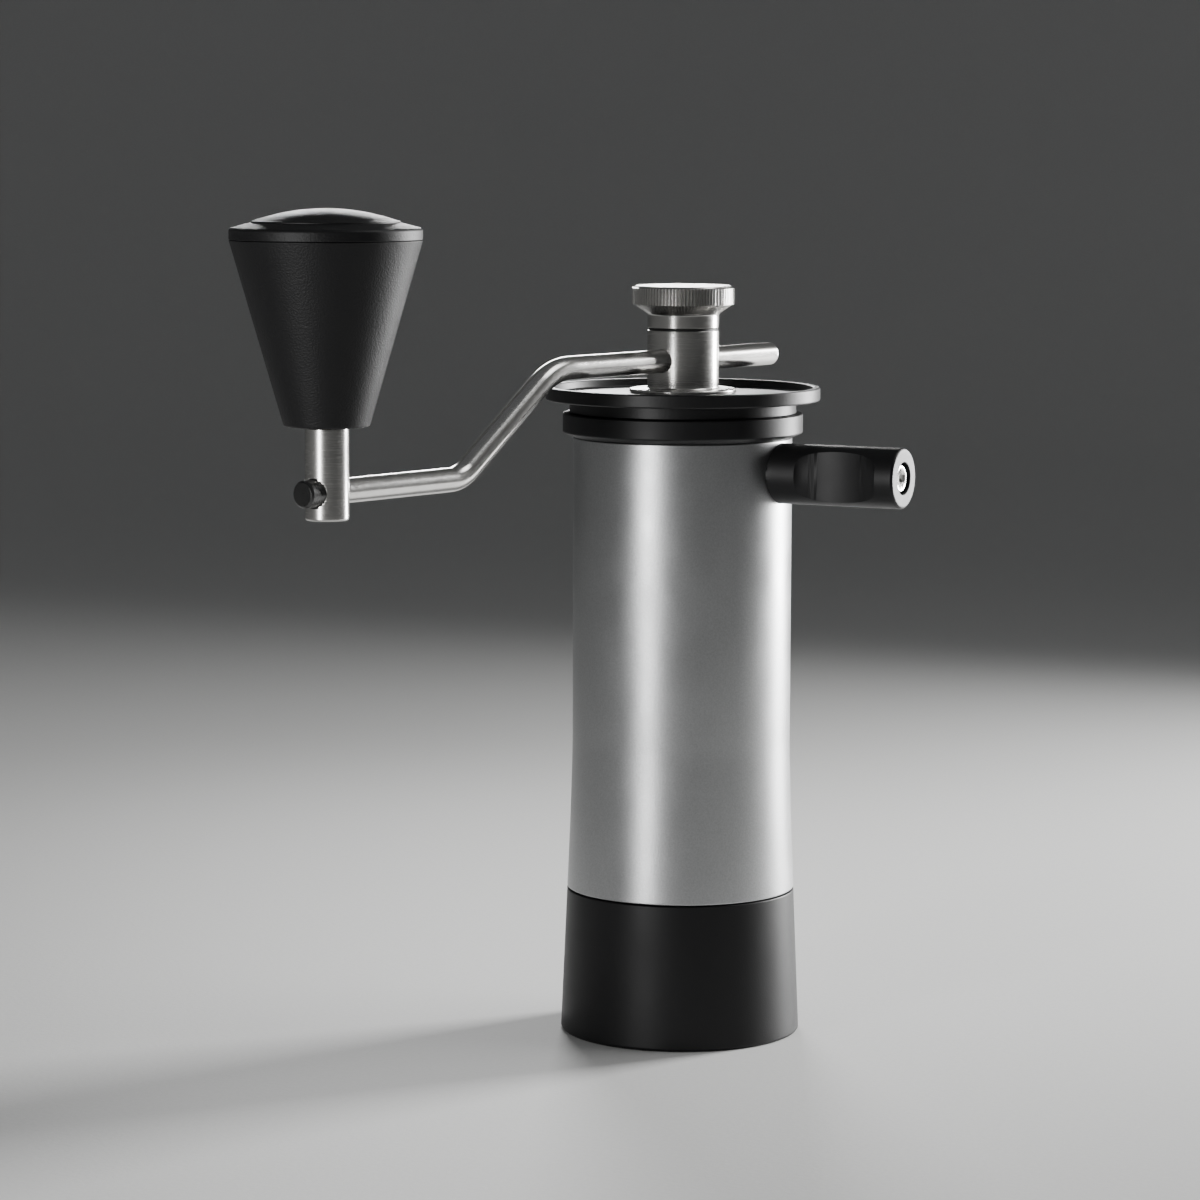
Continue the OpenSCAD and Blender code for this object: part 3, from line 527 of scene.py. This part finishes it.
def make_floor():
    """A wide pale floor with a fine paper grain, curving up far away into a seamless backdrop."""
    mat, tree, shader = principled("pale_floor", (0.72, 0.72, 0.71), 0, 0.62)
    grain = noise(tree, 700, detail=5)
    tree.links.new(
        blend_colors(tree, spread(tree, grain, 0, 1), (0.70, 0.70, 0.69), (0.74, 0.74, 0.73)),
        shader.inputs["Base Color"],
    )
    bumps(tree, shader, [(grain, 0.04 * MM)])
    reach, bend, height = 3.4, 1.6, 4
    room = lathe("floor", [(0, 0), (reach, 0, bend), (reach, height)], mat)


# ---------- cup, tube and collar ----------

def make_cup():
    """The catch cup: a rest ring under it, a tapered wall and a thinner spigot that fits in the tube."""
    steel_low, _, _ = node_box("cup_steel_ring")
    spigot_r = mouth_bore - 0.15 * MM
    cavity_r = spigot_r - SPIGOT_WALL
    top = joint_z - FINE_GAP
    recess = 0.5 * MM
    cup = lathe("cup", [
        (0, recess),
        (cup_r - 4 * MM, recess, EDGE),
        (cup_r - 4.6 * MM, 0, EDGE),
        (cup_r, 0, 0.9 * MM),
        (joint_r, top, SOFT),
        (spigot_r, top, EDGE),
        (spigot_r, steel_low.z),
        (cavity_r, steel_low.z),
        (cavity_r, CUP_FLOOR, 3 * MM),
        (0, CUP_FLOOR),
    ], black_skin)
    stands_for(cup, "cup", "catch_cup")


def make_tube():
    """The body tube, flared at its foot and bored in steps for the cup and the two bearing holders."""
    mouth_depth, lower_seat_depth, upper_seat_depth = 11 * MM, 29 * MM, 14.5 * MM
    mouth_top = joint_z + mouth_depth
    lower_seat_top = mouth_top + lower_seat_depth
    upper_seat = body_top - upper_seat_depth
    steps = 24
    flare = []
    for i in range(1, steps):
        z = joint_z + FLARE_HEIGHT * i / steps
        flare.append((tube_radius(z), z))
    tube = lathe("tube", [
        (joint_r, joint_z, SOFT),
        *flare,
        (body_r, joint_z + FLARE_HEIGHT),
        (body_r, body_top, SOFT),
        (seat_bore, body_top),
        (seat_bore, upper_seat),
        (main_bore, upper_seat, 0.15 * MM),
        (main_bore, lower_seat_top, 0.15 * MM),
        (seat_bore, lower_seat_top),
        (seat_bore, mouth_top, CRISP),
        (mouth_bore, mouth_top, EDGE),
        (mouth_bore, joint_z, 0.4 * MM),
    ], silver_skin, closed=True)
    stands_for(tube, "housing", "body_tube")


def make_collar():
    """The black ring that plugs the top of the tube, chamfered underneath."""
    fit, spigot_wall, chamfer = 0.05 * MM, 2 * MM, 1.3 * MM
    spigot_r = seat_bore - fit
    spigot_inner = spigot_r - spigot_wall
    bore = seat_bore + 0.6 * MM
    collar = lathe("collar", [
        (spigot_inner, collar_low.z, EDGE),
        (spigot_r, collar_low.z, EDGE),
        (spigot_r, body_top),
        (body_r - 0.2 * MM, body_top, 0.15 * MM),
        (collar_r, body_top + chamfer, BROKEN),
        (collar_r, collar_high.z, 0.45 * MM),
        (bore, collar_high.z, EASED),
        (bore, body_top, EDGE),
        (spigot_inner, body_top, EDGE),
    ], black_skin, closed=True)
    stands_for(collar, "housing", "hopper_collar")


# ---------- lid ----------

def make_lid():
    """The lid: a shallow dish with a raised rim, a neck, a spigot with a seal groove and a boss."""
    fit, neck_height, dish_floor = 0.05 * MM, 3.3 * MM, 1.5 * MM
    rim_w, groove_depth = 1.8 * MM, 0.9 * MM
    neck_bottom = collar_high.z + fit
    rim_bottom = collar_high.z + neck_height
    dish_z = rim_bottom + dish_floor
    seal_low, seal_high, seal_mid = node_box("lid_seal")
    _, bush_high, _ = node_box("lid_bush")
    bush_r = bush_high.x
    boss_r = bush_r + 2.5 * MM
    neck_r = body_r + 1 * MM
    inner_top = dish_z - 3 * MM
    spigot_r = seal_high.x - fit
    spigot_inner = spigot_r - 3 * MM
    spigot_bottom = neck_bottom - 4.4 * MM
    groove = (seal_high.z - seal_low.z) / 2 + 0.2 * MM
    lid = lathe("lid_dish", [
        (bush_r, lid_low.z, EDGE),
        (boss_r, lid_low.z, BROKEN),
        (boss_r, inner_top, 1.5 * MM),
        (spigot_inner, inner_top, 1 * MM),
        (spigot_inner, spigot_bottom, EASED),
        (spigot_r, spigot_bottom, 0.4 * MM),
        (spigot_r, seal_mid.z - groove, CRISP),
        (spigot_r - groove_depth, seal_mid.z - groove, EDGE),
        (spigot_r - groove_depth, seal_mid.z + groove, EDGE),
        (spigot_r, seal_mid.z + groove, CRISP),
        (spigot_r, neck_bottom, CRISP),
        (neck_r, neck_bottom, 0.25 * MM),
        (neck_r, rim_bottom, EASED),
        (lid_r, rim_bottom, 0.45 * MM),
        (lid_r, lid_high.z, 0.45 * MM),
        (lid_r - rim_w, lid_high.z, 0.4 * MM),
        (lid_r - rim_w - 0.6 * MM, dish_z, BROKEN),
        (bush_r, dish_z, EDGE),
    ], dish_skin, closed=True)
    stands_for(lid, "lid", "lid")


# ---------- crank ----------

def make_hub():
    """The crank hub: a flanged post with a cross hole for the rod and a hexagonal socket below."""
    flange_r = hub_high.x
    flange_sink, flange_height = 1.7 * MM, 1.3 * MM
    groove_fit, groove_depth = 0.05 * MM, 0.5 * MM
    flange_low = lid_high.z - flange_sink
    flange_top = flange_low + flange_height
    _, bush_high, _ = node_box("lid_bush")
    shank_r = bush_high.x - 2.05 * MM
    clip_low, clip_high, _ = node_box("hub_circlip")
    hub = lathe("hub", [
        (0, hub_low.z),
        (shank_r, hub_low.z, EASED),
        (shank_r, clip_low.z - groove_fit),
        (shank_r - groove_depth, clip_low.z - groove_fit),
        (shank_r - groove_depth, clip_high.z + groove_fit),
        (shank_r, clip_high.z + groove_fit),
        (shank_r, flange_low, EDGE),
        (flange_r, flange_low, EASED),
        (flange_r, flange_top, BROKEN),
        (hub_r, flange_top, BROKEN),
        (hub_r, hub_high.z, EASED),
        (0, hub_high.z),
    ], turned_steel, step=CUT_STEP)
    hole_r = rod_r + 0.09 * MM
    cut(hub, drill("bore", hole_r, -2 * hub_r, 2 * hub_r, turned_steel, place=along_arm(0, rod_z), sides=96))
    cut(hub, hex_key("socket", 6.1 * MM, hub_low.z - MM, hub_low.z + 10 * MM))
    stands_for(hub, "crank", "crank_hub")


def make_clamp():
    """The clamp knob: a knurled head on a cone and a neck, with its screw below."""
    ribs = 90
    sides_per_rib = 10
    depth = 0.45 * MM
    groove_share = 0.62
    washer, neck_height, cone_height, top_edge = 0.4 * MM, 3.8 * MM, 2.3 * MM, 0.5 * MM
    screw_r = 3.95 * MM
    top = clamp_high.z
    clamp_r = clamp_high.x
    base = hub_high.z + washer
    neck_top = base + neck_height
    knurl_low = neck_top + cone_height
    knurl_high = top - top_edge

    def ribbed(angle, point):
        """Cuts V grooves into the outer rings only."""
        if point.x < clamp_r - depth * 1.5:
            return point.x
        off_groove = abs((angle / TURN * ribs) % 1 - 0.5) * 2
        return point.x - depth * max(0, 1 - off_groove / groove_share)

    knob = lathe("clamp", [
        (0, clamp_low.z),
        (screw_r, clamp_low.z, BROKEN),
        (screw_r, base),
        (hub_r - 0.6 * MM, base, CRISP),
        (hub_r, base + 0.25 * MM, EDGE),
        (hub_r, neck_top, 0.8 * MM),
        (clamp_r - depth * 1.6, knurl_low - 0.1 * MM),
        (clamp_r, knurl_low + 0.2 * MM),
        (clamp_r, knurl_high - 0.1 * MM),
        (clamp_r - depth * 1.6, knurl_high + 0.12 * MM),
        (clamp_r - 0.95 * MM, top, EDGE),
        (0, top),
    ], turned_face, segments=ribs * sides_per_rib, reach=ribbed)
    stands_for(knob, "clamp", "clamp_knob")


def arc(centre, radius, start, end, steps):
    """Points of an arc in the arm's plane."""
    points = []
    for i in range(steps + 1):
        a = start + (end - start) * i / steps
        points.append(Vector((centre[0] + radius * math.cos(a), centre[1] + radius * math.sin(a))))
    return points


def arm_path():
    """The rod's centre line as (distance out, height) points, with its two bends."""
    tail = 38.7 * MM
    first_bend, second_bend = 54 * MM, 90 * MM
    first_r, second_r = 22 * MM, 12 * MM
    end_inset = 2.3 * MM
    drop = rod_z - rod_low_z
    slope = math.atan2(drop, second_bend - first_bend)
    first_reach = first_r * math.tan(slope / 2)
    second_reach = second_r * math.tan(slope / 2)
    steps = 28
    up = math.pi / 2
    path = [Vector((-tail, rod_z))]
    path += arc((first_bend - first_reach, rod_z - first_r), first_r, up, up - slope, steps)
    path += arc((second_bend + second_reach, rod_low_z + second_r), second_r, -up - slope, -up, steps)
    path.append(Vector((crank_reach + stem_r - end_inset, rod_low_z)))
    return path


def make_rod():
    """A round bar swept along the arm, with its end beyond the hub softened."""
    path = arm_path()
    sides = 64
    edge = 0.8 * MM
    soft_steps = 5
    stations = []
    last = len(path) - 1
    for i, p in enumerate(path):
        before = path[max(i - 1, 0)]
        after = path[min(i + 1, last)]
        tangent = (after - before).normalized()
        stations.append((p, tangent, rod_r))
    start, start_dir, _ = stations[0]
    soft_end = []
    for i in range(soft_steps):
        a = math.pi / 2 * i / soft_steps
        inset = edge * (1 - math.cos(a))
        soft_end.append((start + start_dir * inset, start_dir, rod_r - edge * (1 - math.sin(a))))
    stations[0] = (start + start_dir * edge, start_dir, rod_r)
    stations = soft_end + stations
    bm = bmesh.new()
    rings = []
    side_dir = Vector((-arm_dir.y, arm_dir.x, 0))
    for p, tangent, radius in stations:
        normal = Vector((-tangent.y, tangent.x))
        centre = arm_dir * p.x + Vector((0, 0, p.y))
        lift = arm_dir * normal.x + Vector((0, 0, normal.y))
        ring = []
        for k in range(sides):
            a = TURN * k / sides
            ring.append(bm.verts.new(centre + (side_dir * math.cos(a) + lift * math.sin(a)) * radius))
        rings.append(ring)
    for low, high in zip(rings, rings[1:]):
        for k in range(sides):
            n = (k + 1) % sides
            bm.faces.new([low[k], low[n], high[n], high[k]])
    bm.faces.new(rings[0])
    bm.faces.new(rings[-1])
    rod = finish_mesh("rod", bm, polished_steel)
    stands_for(rod, "arm", "crank_rod")


def make_stem():
    """The post at the rod's end that carries the knob, cross-drilled for the rod and its end cap."""
    place = standing_at(knob_spot)
    stem = lathe("stem", [
        (0, stem_low.z),
        (stem_r, stem_low.z, 0.55 * MM),
        (stem_r, stem_high.z, EDGE),
        (0, stem_high.z),
    ], turned_steel, place=place, step=CUT_STEP)
    seat_r = (end_high.z - end_low.z) / 2 + 0.12 * MM
    seat_floor = 3 * MM
    seat = lathe("seat", [
        (0, -2 * stem_r),
        (rod_r, -2 * stem_r),
        (rod_r, seat_floor),
        (seat_r, seat_floor),
        (seat_r, 2 * stem_r),
        (0, 2 * stem_r),
    ], turned_steel, place=along_arm(crank_reach, rod_low_z), segments=96)
    cut(stem, seat)
    stands_for(stem, "arm", "crank_stem")


def make_end_cap():
    """The round plug that caps the rod where it comes through the stem."""
    cap_r = (end_high.z - end_low.z) / 2
    sunk, proud, chamfer = 2.2 * MM, 3.4 * MM, 0.55 * MM
    start = stem_r - sunk
    end = stem_r + proud
    cap = lathe("end_cap", [
        (0, start),
        (cap_r, start),
        (cap_r, end - chamfer, CRISP),
        (cap_r - chamfer, end, CRISP),
        (0, end),
    ], end_steel_painted_shade, place=along_arm(crank_reach, rod_low_z), segments=128)
    stands_for(cap, "arm", "rod_end_cap")


def make_shell():
    """The crank knob's hollow cone, with the bearing tube inside it."""
    upper_low, upper_high, _ = node_box("knob_upper_bush")
    _, lower_high, _ = node_box("knob_lower_bush")
    bush_r = (upper_high.x - upper_low.x) / 2
    tube_r = bush_r + 2 * MM
    foot_r = 10.05 * MM
    top_r = (shell_high.x - shell_low.x) / 2
    wall = 2.2 * MM
    foot_solid = 9 * MM
    hollow_z = shell_low.z + foot_solid
    hollow_r = foot_r + (top_r - foot_r) * foot_solid / (shell_high.z - shell_low.z) - wall
    axle_r = 4.5 * MM
    seam = 0.12 * MM
    seam_z = shell_high.z + FINE_GAP - seam
    shell = lathe("shell", [
        (bush_r, shell_low.z, EDGE),
        (foot_r, shell_low.z, 0.75 * MM),
        (knob_r, seam_z, 0.14 * MM),
        (top_r - wall, seam_z, EDGE),
        (hollow_r, hollow_z, 1.2 * MM),
        (tube_r, hollow_z, 1.2 * MM),
        (tube_r, upper_high.z, EASED),
        (bush_r, upper_high.z, EDGE),
        (bush_r, upper_low.z),
        (axle_r, upper_low.z),
        (axle_r, lower_high.z),
        (bush_r, lower_high.z),
    ], knob_skin, closed=True, place=standing_at(knob_spot))
    stands_for(shell, "knob", "knob_shell")


def make_cap():
    """The knob's lid: a rim, a sloping shoulder, a thin step and a shallow dome."""
    rim_low = shell_high.z + FINE_GAP
    rim_height, inner_height, ledge = 2.6 * MM, 1.6 * MM, 0.25 * MM
    rim_top = rim_low + rim_height
    inner_top = rim_low + inner_height
    dome = cap_high.z - rim_top
    step_r = 0.77 * knob_r
    step_z = rim_top + 0.36 * dome
    bore = knob_r - 5 * MM
    plug_r = knob_r - 3.2 * MM
    steps = 16
    crown = []
    for i in range(1, steps):
        out = 1 - i / steps
        crown.append(((step_r - ledge) * out, step_z + (cap_high.z - step_z) * (1 - out ** 2)))
    cap = lathe("knob_top", [
        (0, inner_top),
        (bore, inner_top, 0.8 * MM),
        (bore, cap_low.z, EASED),
        (plug_r, cap_low.z, EASED),
        (plug_r, rim_low),
        (knob_r, rim_low, 0.16 * MM),
        (knob_r, rim_top, 0.9 * MM),
        (step_r, step_z - 0.3 * MM, CRISP),
        (step_r, step_z, 0.12 * MM),
        *crown,
        (0, cap_high.z),
    ], knob_skin, place=standing_at(knob_spot))
    stands_for(cap, "knob", "knob_cap")


# ---------- hand peg ----------

# Height of the screw's head
SCREW_HEAD = 4 * MM


def make_peg():
    """A round peg against the tube, scooped on two sides for finger and thumb, counterbored in its end."""
    peg_r = (peg_high.z - peg_low.z) / 2
    peg_z = peg_mid.z
    face = peg_high.x
    bore_r = 4.1 * MM
    bore_floor = screw_high.x - SCREW_HEAD
    hole_r = 2.15 * MM
    inner = body_r - 4 * MM
    lie = Matrix.Translation((0, 0, peg_z)) @ Matrix.Rotation(math.pi / 2, 4, "Y")
    peg = lathe("peg", [
        (hole_r, bore_floor),
        (bore_r, bore_floor),
        (bore_r, face, 0.25 * MM),
        (peg_r, face, 0.75 * MM),
        (peg_r, inner),
        (hole_r, inner),
    ], black_skin, closed=True, place=lie, segments=192, step=CUT_STEP)
    tube_face = body_r + 0.02 * MM
    half = 30 * MM
    cut(peg, drill("wall", tube_face, -half, half, black_skin, place=Matrix.Translation((0, 0, peg_z))))
    scoop_half, scoop_depth, scoop_shift = 11 * MM, 3.4 * MM, 0.9 * MM
    scoop_x = (body_r + face) / 2 + scoop_shift
    for side in (-1, 1):
        middle = Matrix.Translation((scoop_x, side * peg_r, peg_z))
        shape = Matrix.Diagonal((scoop_half, scoop_depth, 2 * peg_r, 1))
        scoop = drill("scoop", 1, -1, 1, black_skin, sides=96)
        scoop.data.transform(middle @ shape)
        cut(peg, scoop)
    stands_for(peg, "housing", "hand_peg")


def make_peg_screw():
    """The socket head screw that holds the peg on."""
    head_r = (screw_high.z - screw_low.z) / 2
    head_high = screw_high.x
    head_low = head_high - SCREW_HEAD
    shaft_r = 2 * MM
    lie = Matrix.Translation((0, 0, peg_mid.z)) @ Matrix.Rotation(math.pi / 2, 4, "Y")
    screw = lathe("peg_screw_head", [
        (0, screw_low.x),
        (shaft_r, screw_low.x, EASED),
        (shaft_r, head_low),
        (head_r, head_low, EDGE),
        (head_r, head_high, 0.4 * MM),
        (0, head_high),
    ], turned_steel, place=lie, segments=128)
    cut(screw, hex_key("key", 3 * MM, head_high - SCREW_HEAD / 2, head_high + SCREW_HEAD / 2, place=lie))
    stands_for(screw, "housing", "peg_screw")


# ---------- kept CAD pieces ----------

def dress_kept_nodes():
    """Every CAD piece that still shows gets the material of its slot."""
    for name, obj in frame["nodes"].items():
        obj.data.materials.clear()
        obj.data.materials.append(SLOT_MATERIALS[SLOT_OF[name]])


make_floor()
make_cup()
make_tube()
make_collar()
make_lid()
make_hub()
make_clamp()
make_rod()
make_stem()
make_end_cap()
make_shell()
make_cap()
make_peg()
make_peg_screw()
dress_kept_nodes()
